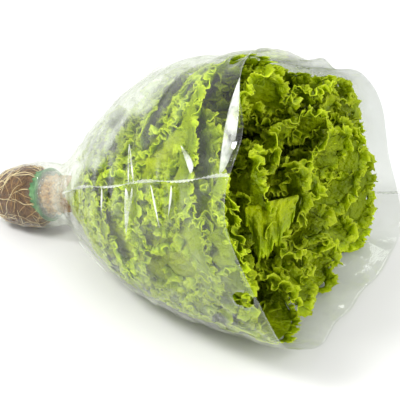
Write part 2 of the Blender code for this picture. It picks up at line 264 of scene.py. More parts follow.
def add_node(material, kind, settings=None, **links):
    """A node with its settings and its inputs, by name or number: a value, a socket or a node's output."""
    node = material.node_tree.nodes.new(kind)
    for key, value in (settings or {}).items():
        setattr(node, key, value)
    for key, value in links.items():
        by_number = key[0] == "i" and key[1:].isdigit()
        socket = node.inputs[int(key[1:]) if by_number else key.replace("_", " ")]
        if isinstance(value, bpy.types.Node):
            value = value.outputs[0]
        if isinstance(value, bpy.types.NodeSocket):
            material.node_tree.links.new(value, socket)
        else:
            socket.default_value = value
    return node


def set_ramp(node, stops):
    """Colour stops of a ramp: position and hex colour."""
    elements = node.color_ramp.elements
    while len(elements) > len(stops):
        elements.remove(elements[-1])
    while len(elements) < len(stops):
        elements.new(1.0)
    for element, (position, code) in zip(elements, stops):
        element.position = position
        element.color = srgb(code)


def film_material():
    """Cast polypropylene film: clear, glossy and crackling with flat creases. Where it hangs free of the wet
    leaves a thin dew inside makes it hazy, and where it clings to them it is clear, with sharp borders."""
    material, output = new_material("cast_polypropylene_film")
    place = add_node(material, "ShaderNodeTexCoord").outputs["Object"]
    # A Scale is how often a pattern repeats in a metre: the clear and hazy patches are 60 mm across.
    bend = add_node(material, "ShaderNodeTexNoise", Vector=place, Scale=18.0, Detail=2.0)
    bent = add_node(
        material, "ShaderNodeVectorMath", {"operation": "MULTIPLY_ADD"},
        i0=bend.outputs["Color"], i1=(0.05, 0.05, 0.05), i2=place,
    )
    cling = add_node(material, "ShaderNodeTexNoise", Vector=bent, Scale=17.0, Detail=2.5, Roughness=0.55)
    free = add_node(
        material, "ShaderNodeMapRange", Value=cling, From_Min=0.50, From_Max=0.56, To_Min=0.2, To_Max=1.0
    )
    # Droplets of dew are far under a millimetre: they are drawn as clouds of 17 mm, coarse enough to show.
    dew = add_node(material, "ShaderNodeTexNoise", Vector=place, Scale=60.0, Detail=4.0, Roughness=0.6)
    haze = add_node(
        material, "ShaderNodeMapRange", Value=dew, From_Min=0.40, From_Max=0.75, To_Min=0.010, To_Max=0.06
    )
    dewy = add_node(material, "ShaderNodeAttribute", {"attribute_name": "dewy"}).outputs["Fac"]
    cloud = add_node(
        material, "ShaderNodeMapRange", Value=dew, From_Min=0.35, From_Max=0.70, To_Min=0.06, To_Max=0.19
    )
    clouded = add_node(material, "ShaderNodeMath", {"operation": "MULTIPLY"}, i0=cloud, i1=dewy)
    veil = add_node(
        material, "ShaderNodeMath", {"operation": "MULTIPLY_ADD", "use_clamp": True},
        i0=haze, i1=free, i2=clouded,
    )
    # The far lip of the mouth is tinted darker: painted shade, so that the film there shows against the
    # bright floor.
    edge = add_node(material, "ShaderNodeAttribute", {"attribute_name": "lip"}).outputs["Fac"]
    far_lip_painted_shade_tint = add_node(material, "ShaderNodeValToRGB", Fac=edge)
    set_ramp(far_lip_painted_shade_tint, [(0.0, "fcfdfb"), (1.0, "e9ebe9")])
    clear = add_node(material, "ShaderNodeBsdfTransparent", Color=far_lip_painted_shade_tint)
    milky = add_node(material, "ShaderNodeBsdfPrincipled", Base_Color=srgb("dfe5d6"), Roughness=0.5)
    body = add_node(material, "ShaderNodeMixShader", i0=veil, i1=clear, i2=milky)
    # The creases stand about 26 mm apart, with a finer crackle of 10 mm on them.
    crease = add_node(
        material, "ShaderNodeTexVoronoi", {"feature": "DISTANCE_TO_EDGE"}, Vector=bent, Scale=38.0
    )
    small = add_node(material, "ShaderNodeTexNoise", Vector=place, Scale=95.0, Detail=3.0)
    relief = add_node(material, "ShaderNodeMath", {"operation": "MULTIPLY_ADD"}, i0=small, i1=0.22, i2=crease)
    bump = add_node(material, "ShaderNodeBump", Strength=0.5, Distance=0.006, Height=relief)
    gloss = add_node(material, "ShaderNodeBsdfGlossy", Color=srgb("ffffff"), Roughness=0.06, Normal=bump)
    facing = add_node(material, "ShaderNodeLayerWeight", Blend=0.5).outputs["Facing"]
    grazing = add_node(material, "ShaderNodeMath", {"operation": "POWER"}, i0=facing, i1=4.0)
    sheen = add_node(material, "ShaderNodeMath", {"operation": "MULTIPLY_ADD"}, i0=grazing, i1=0.50, i2=0.018)
    skin = add_node(material, "ShaderNodeMixShader", i0=sheen, i1=body, i2=gloss)
    material.node_tree.links.new(skin.outputs[0], output.inputs["Surface"])
    return material


def grid_shares(bm):
    """The grid's vertices as two arrays of shares from 0 to 1."""
    places = np.array([vert.co[:2] for vert in bm.verts])
    return places[:, 0] / 2 + 0.5, places[:, 1] / 2 + 0.5


def place_grid(bm, points):
    for vert, point in zip(bm.verts, points):
        vert.co = point


def punch_vents(bm):
    """Round holes beside the near weld: faces taken out, and the edge drawn to a true circle."""
    for turn in (-VENT_FROM_WELD, VENT_FROM_WELD):
        angle = WELD_TURN + turn
        reach = sleeve_reach(VENT_ALONG, np.float64(angle))
        centre = Vector(axis_point(VENT_ALONG) + direction(angle) * reach)
        inside = [face for face in bm.faces if (face.calc_center_median() - centre).length < VENT_RADIUS]
        edge_verts = {vert for face in inside for vert in face.verts}
        bmesh.ops.delete(bm, geom=inside, context="FACES")
        for vert in edge_verts:
            if vert.is_valid and any(edge.is_boundary for edge in vert.link_edges):
                outward = vert.co - centre
                vert.co = centre + outward * (VENT_RADIUS / outward.length)


def dew_on(along, angle):
    """How much dew has settled inside the film: most at the neck and on the slack top, which stands off the
    leaves, a little along the hem, and less than none where it is drawn tight over the roots."""
    neck = smooth((along - 0.057) / 0.010) * (1 - smooth((along - 0.078) / 0.030))
    degrees = np.degrees(angle_gap(angle, math.radians(40)))
    border = 104 - 364 * (along - 0.14) + 5 * np.sin(along * 130)
    top = smooth((border - degrees) / 5) * smooth((degrees + 60) / 20) * smooth((along - 0.055) / 0.03)
    top = top * (1 - smooth((along - 0.262) / 0.02))
    hem = np.exp(-((angle_gap(angle, math.radians(180)) / 0.40) ** 2)) * smooth((along - 0.240) / 0.020)
    tight = 1 - smooth((along - 0.040) / 0.014)
    return 1.6 * neck + 2.2 * top * (1 - neck) + 0.3 * hem - 0.6 * tight


def make_film():
    bm = bmesh.new()
    bmesh.ops.create_grid(bm, x_segments=FILM_GRID[0], y_segments=FILM_GRID[1], size=1.0)
    across, lengthwise = grid_shares(bm)
    place_grid(bm, film_point(across, lengthwise))
    along = SLEEVE_LENGTH * lengthwise**ROW_SPACING
    angle = WELD_TURN + 2 * math.pi * across
    # The far lip is marked for the film's darker tint there, which is painted shade.
    far_lip_painted_shade = smooth((along - 0.235) / 0.03) * np.exp(-((angle_gap(angle, math.radians(15)) / 0.9) ** 4))
    for name, values in (("dewy", dew_on(along, angle)), ("lip", far_lip_painted_shade)):
        layer = bm.verts.layers.float.new(name)
        for vert, value in zip(bm.verts, values):
            vert[layer] = value
    bmesh.ops.remove_doubles(bm, verts=bm.verts[:], dist=0.00004)
    punch_vents(bm)
    bmesh.ops.recalc_face_normals(bm, faces=bm.faces[:])
    film = mesh_piece("film_sleeve", bm, [film_material()], ["sleeve"])
    thicken(film, FILM_WALL, offset=-1.0)


make_film()


# The welds: both edges of the bag, where its two panels are heat-sealed to each other.
# Each stands out from the sleeve as a narrow crimped strip.
WELD_START = 0.30  # share of the film's rows, from where the weld stands clear of the gathered neck
WELD_HEIGHT = 0.0023


def weld_material():
    """The heat-sealed edge of the film: the same plastic, whiter where two layers were pressed together."""
    material, output = new_material("heat_sealed_film_edge")
    clear = add_node(material, "ShaderNodeBsdfTransparent")
    pressed = add_node(material, "ShaderNodeBsdfPrincipled", Base_Color=srgb("f2f5ee"), Roughness=0.22)
    body = add_node(material, "ShaderNodeMixShader", i0=0.32, i1=clear, i2=pressed)
    material.node_tree.links.new(body.outputs[0], output.inputs["Surface"])
    return material


def make_welds():
    for name, turn in (("near_weld", 0.0), ("far_weld", 0.5)):
        bm = bmesh.new()
        bmesh.ops.create_grid(bm, x_segments=3, y_segments=170, size=1.0)
        outward_share, lengthwise = grid_shares(bm)
        lengthwise = WELD_START + (1 - WELD_START) * lengthwise
        base = film_point(np.full(len(lengthwise), turn), lengthwise)
        angle = WELD_TURN + 2 * math.pi * turn
        crimp = 0.00035 * np.sin(lengthwise * 420) * outward_share
        outward = direction(np.full(len(base), angle))
        sideways = direction(np.full(len(base), angle + math.pi / 2))
        lean = 0.8 * np.sin(lengthwise * 23 + 1.0)
        height = WELD_HEIGHT * outward_share - 0.0001
        points = base + outward * height[:, None] + sideways * (crimp + lean * height)[:, None]
        place_grid(bm, points)
        bmesh.ops.recalc_face_normals(bm, faces=bm.faces[:])
        strip = mesh_piece(name, bm, [weld_material()])
        thicken(strip, 0.00025)


make_welds()


# The pinched folds: where the welds hold the film short, spare film is pinched up and lies over.
# It lies double there, in sharp white folds that taper to nothing at both ends; their white is partly the
# doubled film and partly painted highlight.
PINCHED_FOLDS = (  # from: metres along, degrees round; to: the same; width
    (0.1950, 150.5, 0.1932, 135.0, 0.0015),
    (0.2008, 150.5, 0.1938, 135.2, 0.0017),
    (0.2560, 148.5, 0.2465, 140.0, 0.0055),
    (0.2785, 149.4, 0.2850, 122.0, 0.0090),
    (0.1920, 151.5, 0.1865, 170.0, 0.0050),
    (0.1990, 151.5, 0.1900, 164.0, 0.0026),
    (0.2180, 151.0, 0.2230, 165.0, 0.0018),
    (0.2380, 151.5, 0.2330, 161.0, 0.0020),
    (0.1640, 151.0, 0.1610, 163.0, 0.0020),
    (0.1720, 96.0, 0.1980, 84.0, 0.0030),
    (0.1500, 103.0, 0.1850, 97.0, 0.0022),
    (0.1000, 205.0, 0.1300, 212.0, 0.0026),
    (0.1300, 328.0, 0.1420, 352.0, 0.0030),
    (0.2050, 331.0, 0.2150, 306.0, 0.0034),
    (0.1600, 20.0, 0.1900, 28.0, 0.0028),
    (0.0980, 60.0, 0.1250, 52.0, 0.0024),
)


def doubled_film_and_painted_highlight():
    """Doubled film: whiter than one layer, partly as painted highlight, and glossy enough to flash where it
    faces a light.
    """
    material, output = new_material("doubled_film")
    place = add_node(material, "ShaderNodeTexCoord").outputs["Object"]
    crinkle = add_node(material, "ShaderNodeTexNoise", Vector=place, Scale=90.0, Detail=2.0)
    # How much of each fold is drawn white: the doubled film, with painted highlight in it.
    cover = add_node(
        material, "ShaderNodeMapRange", Value=crinkle, From_Min=0.38, From_Max=0.62, To_Min=0.12, To_Max=0.72
    )
    bump = add_node(material, "ShaderNodeBump", Strength=0.5, Distance=0.001, Height=crinkle)
    clear = add_node(material, "ShaderNodeBsdfTransparent")
    white = add_node(
        material, "ShaderNodeBsdfPrincipled", Base_Color=srgb("e2e6dd"), Roughness=0.12, Normal=bump
    )
    body = add_node(material, "ShaderNodeMixShader", i0=cover, i1=clear, i2=white)
    material.node_tree.links.new(body.outputs[0], output.inputs["Surface"])
    return material


def sheet_of(points, **values):
    """A grid laid on rows of points, with a value for each point on each named layer."""
    rows, columns = points.shape[:2]
    bm = bmesh.new()
    bmesh.ops.create_grid(bm, x_segments=columns - 1, y_segments=rows - 1, size=1.0)
    layers = {name: bm.verts.layers.float.new(name) for name in values}
    for vert in bm.verts:
        row = round((vert.co.y / 2 + 0.5) * (rows - 1))
        column = round((vert.co.x / 2 + 0.5) * (columns - 1))
        vert.co = points[row, column]
        for name, layer in layers.items():
            vert[layer] = values[name][row, column]
    return bm


def add_sheet(whole, sheet):
    """One sheet joined to the bmesh of all."""
    mesh = bpy.data.meshes.new("sheet")
    sheet.to_mesh(mesh)
    sheet.free()
    whole.from_mesh(mesh)
    bpy.data.meshes.remove(mesh)


def make_pinched_folds():
    """Each fold is widest before the middle of its run, and arches over its width."""
    whole = bmesh.new()
    run = np.linspace(0.0, 1.0, 28)
    over = np.linspace(0.0, 1.0, 5)[:, None]
    for along_from, turn_from, along_to, turn_to, width in PINCHED_FOLDS:
        angle = np.radians(turn_from + (turn_to - turn_from) * run)
        spread = width * np.sin(math.pi * run**0.72) ** 0.9
        along = along_from + (along_to - along_from) * run + spread * over
        reach = sleeve_reach(along, np.broadcast_to(angle, along.shape)) + 0.0006
        arch = 0.405 * spread * np.sin(math.pi * over) ** 0.8
        points = axis_point(along) + direction(angle) * (reach + arch)[..., None]
        points[..., 2] = np.maximum(points[..., 2], 0.0008)
        add_sheet(whole, sheet_of(points))
    folds = mesh_piece("pinched_folds", whole, [doubled_film_and_painted_highlight()])
    thicken(folds, 0.0002)


make_pinched_folds()


# The root ball: roots have grown out through the net pot and matted into a fibrous brown ball all round it.
# Straw-coloured feeder roots lie over the mat every way, held tight by the film.
ROOT_MIDDLE = 0.0300
ROOT_HALF_LENGTH = 0.0245
ROOT_BALL_RADIUS = 0.0240
ROOT_COUNT = 230
ROOT_STEPS = 14
ROOT_RUN_RADIUS = 0.022  # turns a root's run round the ball into an angle


def root_reach(along, angle):
    """Distance from the axis to the ball's lumpy skin, always inside the film."""
    past = 0.13 * smooth((along - ROOT_MIDDLE) / 0.02) * (1 + np.cos(angle_gap(angle, math.radians(240))))
    share = np.clip((along - ROOT_MIDDLE) / ROOT_HALF_LENGTH - past, -1, 1)
    egg = ROOT_BALL_RADIUS * np.sqrt(np.maximum(1 - np.abs(share) ** 2.3, 0.0))
    lumps = 0.05 * np.sin(3 * angle + 180 * along) + 0.035 * np.sin(7 * angle - 260 * along + 1)
    return np.minimum(egg * (1 + lumps), np.maximum(sleeve_reach(along, angle) - 0.0022, 0.0))


def root_material():
    """Matted roots: dry and matt, dark brown, painted darker in the hollows as shade, and straw on some
    single roots.
    """
    material, output = new_material("matted_roots")
    place = add_node(material, "ShaderNodeTexCoord").outputs["Object"]
    tone = add_node(material, "ShaderNodeAttribute", {"attribute_name": "tone"}).outputs["Fac"]
    # Root hairs are 0.1 mm thick: they are drawn as a grain of 1.4 mm, coarse enough to show.
    grain = add_node(material, "ShaderNodeTexNoise", Vector=place, Scale=700.0, Detail=4.0)
    mixed = add_node(material, "ShaderNodeMath", {"operation": "MULTIPLY_ADD"}, i0=grain, i1=0.40, i2=tone)
    ramp = add_node(material, "ShaderNodeValToRGB", Fac=mixed)
    set_ramp(ramp, [(0.15, "2e1d0d"), (0.40, "6a4722"), (0.62, "9c743f"), (0.85, "d3b27a"), (1.0, "efdcae")])
    bump = add_node(material, "ShaderNodeBump", Strength=0.7, Distance=0.0008, Height=grain)
    skin = add_node(material, "ShaderNodeBsdfPrincipled", Base_Color=ramp, Roughness=0.75, Normal=bump)
    material.node_tree.links.new(skin.outputs[0], output.inputs["Surface"])
    return material


def tube_along(path, outward, radius):
    """Rows of points of a thin closed tube round a path, tapering to nothing at both ends."""
    tangent = np.gradient(path, axis=0)
    across = np.cross(tangent, outward)
    across /= np.maximum(np.linalg.norm(across, axis=-1, keepdims=True), 1e-9)
    turn = np.linspace(0.0, 2 * math.pi, 4)
    taper = radius * np.sin(math.pi * np.linspace(0, 1, len(path))) ** 0.4
    taper[0] = taper[-1] = 0.0
    ring = np.cos(turn)[:, None, None] * outward + np.sin(turn)[:, None, None] * across
    return path + ring * taper[:, None]


def make_root_ball():
    draw = np.random.default_rng(3)
    whole = bmesh.new()
    along = ROOT_MIDDLE + np.sin(np.linspace(-math.pi / 2, math.pi / 2, 46))[:, None] * ROOT_HALF_LENGTH
    along = along + 0.0062 * smooth((along - ROOT_MIDDLE) / 0.02)
    angle = np.linspace(0, 2 * math.pi, 97)
    along, angle = np.broadcast_arrays(along, angle)
    ridges = np.sin(11 * angle + 500 * along) * np.sin(17 * angle - 420 * along)
    ridges = ridges + 0.6 * np.sin(31 * angle + 900 * along)
    reach = root_reach(along, angle) * 0.97 + 0.0004 * ridges
    reach[0] = reach[-1] = 0.0
    # The mat is painted darker where its ridges dip: painted shade in the hollows.
    core = sheet_of(axis_point(along) + direction(angle) * reach[..., None], tone=0.14 + 0.10 * ridges)
    bmesh.ops.remove_doubles(core, verts=core.verts[:], dist=0.00002)
    bmesh.ops.recalc_face_normals(core, faces=core.faces[:])
    add_sheet(whole, core)
    for _ in range(ROOT_COUNT):
        heading = draw.uniform(0, 2 * math.pi) + np.cumsum(draw.normal(0, 0.24, ROOT_STEPS))
        pace = draw.uniform(0.0015, 0.0044)
        at = draw.uniform(0.008, 0.048) + np.cumsum(np.cos(heading)) * pace
        at = ROOT_MIDDLE + ROOT_HALF_LENGTH * 0.96 * np.sin((at - ROOT_MIDDLE) / ROOT_HALF_LENGTH)
        turn = draw.uniform(0, 2 * math.pi) + np.cumsum(np.sin(heading)) * pace / ROOT_RUN_RADIUS
        lift = draw.uniform(-0.0002, 0.0007)
        outward = direction(turn)
        path = axis_point(at) + outward * (root_reach(at, turn) + lift)[:, None]
        points = tube_along(path, outward, draw.uniform(0.00016, 0.00044))
        root = sheet_of(points, tone=np.full(points.shape[:2], draw.uniform(0.10, 1.0)))
        bmesh.ops.remove_doubles(root, verts=root.verts[:], dist=0.00001)
        bmesh.ops.recalc_face_normals(root, faces=root.faces[:])
        add_sheet(whole, root)
    mesh_piece("matted_root_ball", whole, [root_material()], ["root_ball"])


make_root_ball()


# The net pot: a thin green polypropylene cup, moulded with upright bars and a turned-out rim.
# Only its rim end shows, past the roots that have swallowed the rest.
POT_PROFILE = np.array([  # distance from the root end, radius
    (0.0270, 0.0150), (0.0275, 0.0163), (0.0340, 0.0172), (0.0440, 0.0184), (0.0520, 0.0192),
    (0.0532, 0.0200), (0.0540, 0.0211), (0.0552, 0.0213), (0.0558, 0.0206), (0.0559, 0.0186),
])
POT_BARS = 26
POT_RING_ALONG = 0.0440
POT_BARS_END = 0.0525


def pot_material():
    """Moulded polypropylene: leaf green, slightly see-through and satin, scuffed, root-stained and painted
    with root shadow.
    """
    material, output = new_material("moulded_polypropylene")
    place = add_node(material, "ShaderNodeTexCoord").outputs["Object"]
    # The noise mottles the green: its tan patches are stains from the roots, its dark green patches painted
    # shadow of the roots.
    stain_and_painted_shadow = add_node(material, "ShaderNodeTexNoise", Vector=place, Scale=160.0, Detail=4.0)
    ramp = add_node(material, "ShaderNodeValToRGB", Fac=stain_and_painted_shadow)
    set_ramp(ramp, [(0.30, "1f4a26"), (0.50, "34703c"), (0.66, "5c8f58"), (0.80, "a89a68")])
    bump = add_node(material, "ShaderNodeBump", Strength=0.2, Distance=0.0005, Height=stain_and_painted_shadow)
    skin = add_node(material, "ShaderNodeBsdfPrincipled", Base_Color=ramp, Roughness=0.38, Normal=bump)
    material.node_tree.links.new(skin.outputs[0], output.inputs["Surface"])
    return material


def along_profile(profile, count):
    """Distance and radius at a number of places spread evenly over a turned profile's points."""
    places = np.linspace(0, len(profile) - 1, count)[:, None]
    return (np.interp(places, np.arange(len(profile)), column) for column in profile.T)


def make_net_pot():
    along, radius = along_profile(POT_PROFILE, 28)
    angle = np.linspace(0, 2 * math.pi, 8 * POT_BARS + 1)
    below_rim = smooth((POT_BARS_END - along) / 0.0015)
    bars = smooth((np.cos(POT_BARS * angle) + 0.2) / 0.6) * below_rim
    rings = smooth(1.6 - np.abs(along - POT_RING_ALONG) / 0.0007) * below_rim
    reach = radius + 0.0008 * np.maximum(bars, rings) - 0.0006
    along = np.broadcast_to(along, reach.shape)
    wall = sheet_of(axis_point(along) + direction(angle) * reach[..., None])
    bmesh.ops.remove_doubles(wall, verts=wall.verts[:], dist=0.00001)
    bmesh.ops.recalc_face_normals(wall, faces=wall.faces[:])
    pot = mesh_piece("ribbed_net_pot", wall, [pot_material()], ["net_pot"])
    thicken(pot, 0.0008, offset=-1.0)


make_net_pot()


# The growing plug: coir pith pressed round the stem, which crumbles at its edges.
# It fills the pot to just under its rim, and stands out of it as far as the first leaves.
PLUG_PROFILE = np.array([  # distance from the root end, radius
    (0.0460, 0.0), (0.0462, 0.0158), (0.0510, 0.0162), (0.0524, 0.0148), (0.0640, 0.0140), (0.0800, 0.0128),
    (0.0868, 0.0108), (0.0880, 0.0),
])


def plug_material():
    """Coconut coir: short ginger fibres and crumbs, matt and rough."""
    material, output = new_material("pressed_coir")
    place = add_node(material, "ShaderNodeTexCoord").outputs["Object"]
    crumbs = add_node(material, "ShaderNodeTexVoronoi", Vector=place, Scale=520.0, Randomness=1.0)
    # The fibres are 0.2 mm thick: they are drawn 2.6 mm coarse, with finer detail on them.
    fibre = add_node(material, "ShaderNodeTexNoise", Vector=place, Scale=380.0, Detail=5.0, Roughness=0.7)
    mixed = add_node(material, "ShaderNodeMath", {"operation": "MULTIPLY_ADD"}, i0=crumbs, i1=0.35, i2=fibre)
    ramp = add_node(material, "ShaderNodeValToRGB", Fac=mixed)
    set_ramp(ramp, [(0.40, "4c2e11"), (0.55, "855720"), (0.70, "ad7a36"), (0.90, "d2a765")])
    bump = add_node(material, "ShaderNodeBump", Strength=0.9, Distance=0.0012, Height=mixed)
    skin = add_node(material, "ShaderNodeBsdfPrincipled", Base_Color=ramp, Roughness=0.9, Normal=bump)
    material.node_tree.links.new(skin.outputs[0], output.inputs["Surface"])
    return material


def make_plug():
    draw = np.random.default_rng(8)
    along, barrel = along_profile(PLUG_PROFILE, 50)
    along, angle = np.broadcast_arrays(along, np.linspace(0, 2 * math.pi, 97))
    crumbs = np.zeros(along.shape)
    for _ in range(14):
        rate = draw.integers(5, 40)
        slant = draw.uniform(-1, 1) * 1500
        crumbs += np.sin(rate * angle + slant * along + draw.uniform(0, 6))
    reach = np.maximum(barrel * (1 + 0.022 * crumbs), 0.0)
    reach[0] = reach[-1] = 0.0
    body = sheet_of(axis_point(along) + direction(angle) * reach[..., None])
    bmesh.ops.remove_doubles(body, verts=body.verts[:], dist=0.00002)
    bmesh.ops.recalc_face_normals(body, faces=body.faces[:])
    mesh_piece("crumbly_plug", body, [plug_material()], ["growing_plug"])


make_plug()


# The lettuce head: frilled leaves in a spiral, whose feet close round a short stem. They are pale there
# and lime green at the frills. Each blade has more margin than it has room for, so its edge folds into
# ruffles, and those into finer curls.
LEAF_GAP = 0.0030  # between the smooth sleeve and the furthest frill, so that creases in the film clear it
GOLDEN_TURN = math.radians(137.508)
STEM_START = 0.0640
STEM_LENGTH = 0.030
STEM_FOOT_RADIUS = 0.0075
LEAF_BASE_HALF = 0.0060
BLADE_THICKNESS = 0.00045
BLADE_COLUMNS = 40
BLADE_ROWS = 8
FRILL_HEIGHT = 0.0074
RUFFLE_PITCH = 0.0076
RUFFLE_SWING = 0.0031
CURL_PITCH = 0.0037
CURL_SWING = 0.0009
MARGIN_STEP = 0.00066  # between two points along the foot of the frill at the margin
CREST_STEP = 0.00079  # and along those of the folds inside it
COARSER = 1
FOLD_LEAN = 1.15
OUTER_RINGS = ((0.97, 0.50), (0.74, 0.75))  # share of the way out to the margin, lean of the frill
INNER_RINGS = ((0.97, 0.15), (0.74, -0.70))
# The tones are painted light: the outer layers under the film are painted brighter, the crown and heart
# darker, with some difference at random inside each layer.
LEAF_LAYERS = (  # tips in metres along the axis, shells as shares of the sleeve's radius, tones as brightness
    dict(name="lowest_leaves", count=9, tips=(0.130, 0.168), shells=(0.99, 0.97), half_width=0.035,
         tones=(1.05, 1.32), rings=OUTER_RINGS[:1], folds=6),
    dict(name="lower_leaves", count=11, tips=(0.172, 0.212), shells=(0.97, 0.95), half_width=0.043,
         tones=(1.10, 1.40), rings=OUTER_RINGS, folds=7),
    dict(name="middle_leaves", count=11, tips=(0.240, 0.270), shells=(0.97, 0.96), half_width=0.046,
         tones=(1.12, 1.40), rings=OUTER_RINGS, folds=5),
    dict(name="crown_leaves", count=10, tips=(0.262, 0.282), shells=(0.90, 0.70), half_width=0.035,
         tones=(0.95, 1.20), rings=INNER_RINGS, folds=7),
    dict(name="inner_leaves", count=7, tips=(0.280, 0.288), shells=(0.64, 0.42), half_width=0.029,
         tones=(0.88, 1.12), rings=INNER_RINGS, folds=6),
    dict(name="heart_leaves", count=5, tips=(0.288, 0.280), shells=(0.34, 0.08), half_width=0.020,
         tones=(0.88, 1.12), rings=INNER_RINGS, folds=4),
)


def unit(vectors):
    return vectors / np.maximum(np.linalg.norm(vectors, axis=-1, keepdims=True), 1e-12)


def head_reach(along, angle):
    """How far out the leaves may come: inside the film, and not into the mouth's low far corner."""
    rounded = curve_through(SLEEVE_OUTLINE, along)
    slack_top = np.exp(-((angle_gap(angle, math.radians(82)) / 0.9) ** 2))
    slack_top = slack_top * (1 - smooth((along - 0.17) / 0.07))
    film = sleeve_reach(along, angle) - LEAF_GAP
    return np.minimum(film * (1 - 0.15 * slack_top), rounded * 1.06)


def pressed_inside(points):
    """Frills that would pass the film are pressed flat against it, each a little less than the one above."""
    offset = points - ROOT_END
    along = offset @ AXIS
    outward = offset - along[..., None] * AXIS
    angle = np.arctan2(outward @ UPWARD, outward @ ACROSS)
    radius = np.linalg.norm(outward, axis=-1)
    give = 0.005
    start = sleeve_reach(along, angle) - LEAF_GAP - give
    pressed = start + give * (1 - np.exp(-np.maximum(radius - start, 0.0) / give))
    factor = np.where(radius > start, pressed / np.maximum(radius, 1e-6), 1.0)
    return ROOT_END + along[..., None] * AXIS + outward * factor[..., None]


def wander(draw, length, pitch, waves=4):
    """A slow random wave along a margin, from about -1 to 1."""
    rates = 2 * math.pi / (pitch * draw.uniform(0.7, 2.2, waves))
    phases = draw.uniform(0, 2 * math.pi, waves)
    return np.sin(np.multiply.outer(length, rates) + phases).mean(axis=-1) * 1.6


class Leaf:
    """One leaf's place in the head, and the smooth blade that its frills stand on."""

    def __init__(self, draw, turn, shell, start, end, half_width):
        self.draw = draw
        self.turn = turn
        self.shell = shell
        self.start = start
        self.blade_length = end - start
        self.half_width = half_width
        self.recurve = 0.014 + draw.uniform(-0.005, 0.007)
        self.skew = draw.uniform(-0.30, 0.30) * smooth((shell - 0.5) / 0.4)
        self.twist = draw.uniform(-0.45, 0.45) * smooth((0.95 - shell) / 0.3)
        self.room = FRILL_HEIGHT * 0.55 + 0.003 * smooth((shell - 0.3) / 0.4)
        self.buckles = draw.uniform(-1, 1, (4, 2)) * 2 * math.pi / 0.034
        self.phases = draw.uniform(0, 2 * math.pi, 4)

    def outline(self, place, fraction=1.0):
        """A line like the margin, drawn in towards the middle: its feet are at -1 and 1, its tip at 0."""
        share = 1 - np.abs(place)
        swell = np.maximum(np.sin(math.pi * share**1.25), 0.0) ** 0.8
        width = LEAF_BASE_HALF * (1 - share) + self.half_width * swell
        middle = 0.42
        return middle + fraction * (np.sin(math.pi / 2 * share) - middle), fraction * np.sign(place) * width

    def point(self, length, sideways):
        """The blade at a share of its length and a distance off its midrib. Its tip bends out."""
        tip = smooth((length - 0.68) / 0.36)
        run = self.blade_length * length
        along = self.start + self.blade_length * np.maximum(length, 0) ** 0.92 - 0.45 * self.recurve * tip**2
        opened = smooth(length / 0.30)
        rounded = self.shell * curve_through(SLEEVE_OUTLINE, along)
        rough = STEM_FOOT_RADIUS + (rounded - STEM_FOOT_RADIUS) * opened
        angle = self.turn + (sideways + self.skew * run * length) / np.hypot(rough, 0.014)
        waves = [np.sin(run * a + sideways * b + c) for (a, b), c in zip(self.buckles, self.phases)]
        buckled = 0.0024 * smooth((length - 0.3) / 0.4) * sum(waves)
        spread = self.shell * head_reach(along, angle) - self.room + self.twist * sideways + buckled
        radius = STEM_FOOT_RADIUS + (spread - STEM_FOOT_RADIUS) * opened + self.recurve * tip**1.6
        return axis_point(along) + direction(angle) * radius[..., None]

    def normal(self, length, sideways):
        """Out of the blade's outer face."""
        step = 0.0015
        here = self.point(length, sideways)
        lengthwise = self.point(length + step / self.blade_length, sideways) - here
        crosswise = self.point(length, sideways + step) - here
        return unit(np.cross(crosswise, lengthwise))


def ring_line(leaf, fraction):
    """A line round the leaf like its margin, with shallow lobes."""
    far = 0.72 if fraction > 0.9 else 0.62
    place = np.linspace(-far, far, 300)
    lobes = 0.025 if fraction > 0.9 else 0.045
    wave = lobes * wander(leaf.draw, place * leaf.blade_length * 1.3, 0.022)
    return leaf.outline(place, fraction * (1 + wave))


def fold_line(leaf, place):
    """A line that runs in from the margin as a vein does, where the crowded blade folds."""
    out = np.linspace(0.97, leaf.draw.uniform(0.30, 0.55), 120)
    bend = leaf.draw.uniform(-0.5, 0.5) * (0.97 - out) + 0.02 * np.sin(out * 21 + place * 9)
    return leaf.outline(place + bend, out)


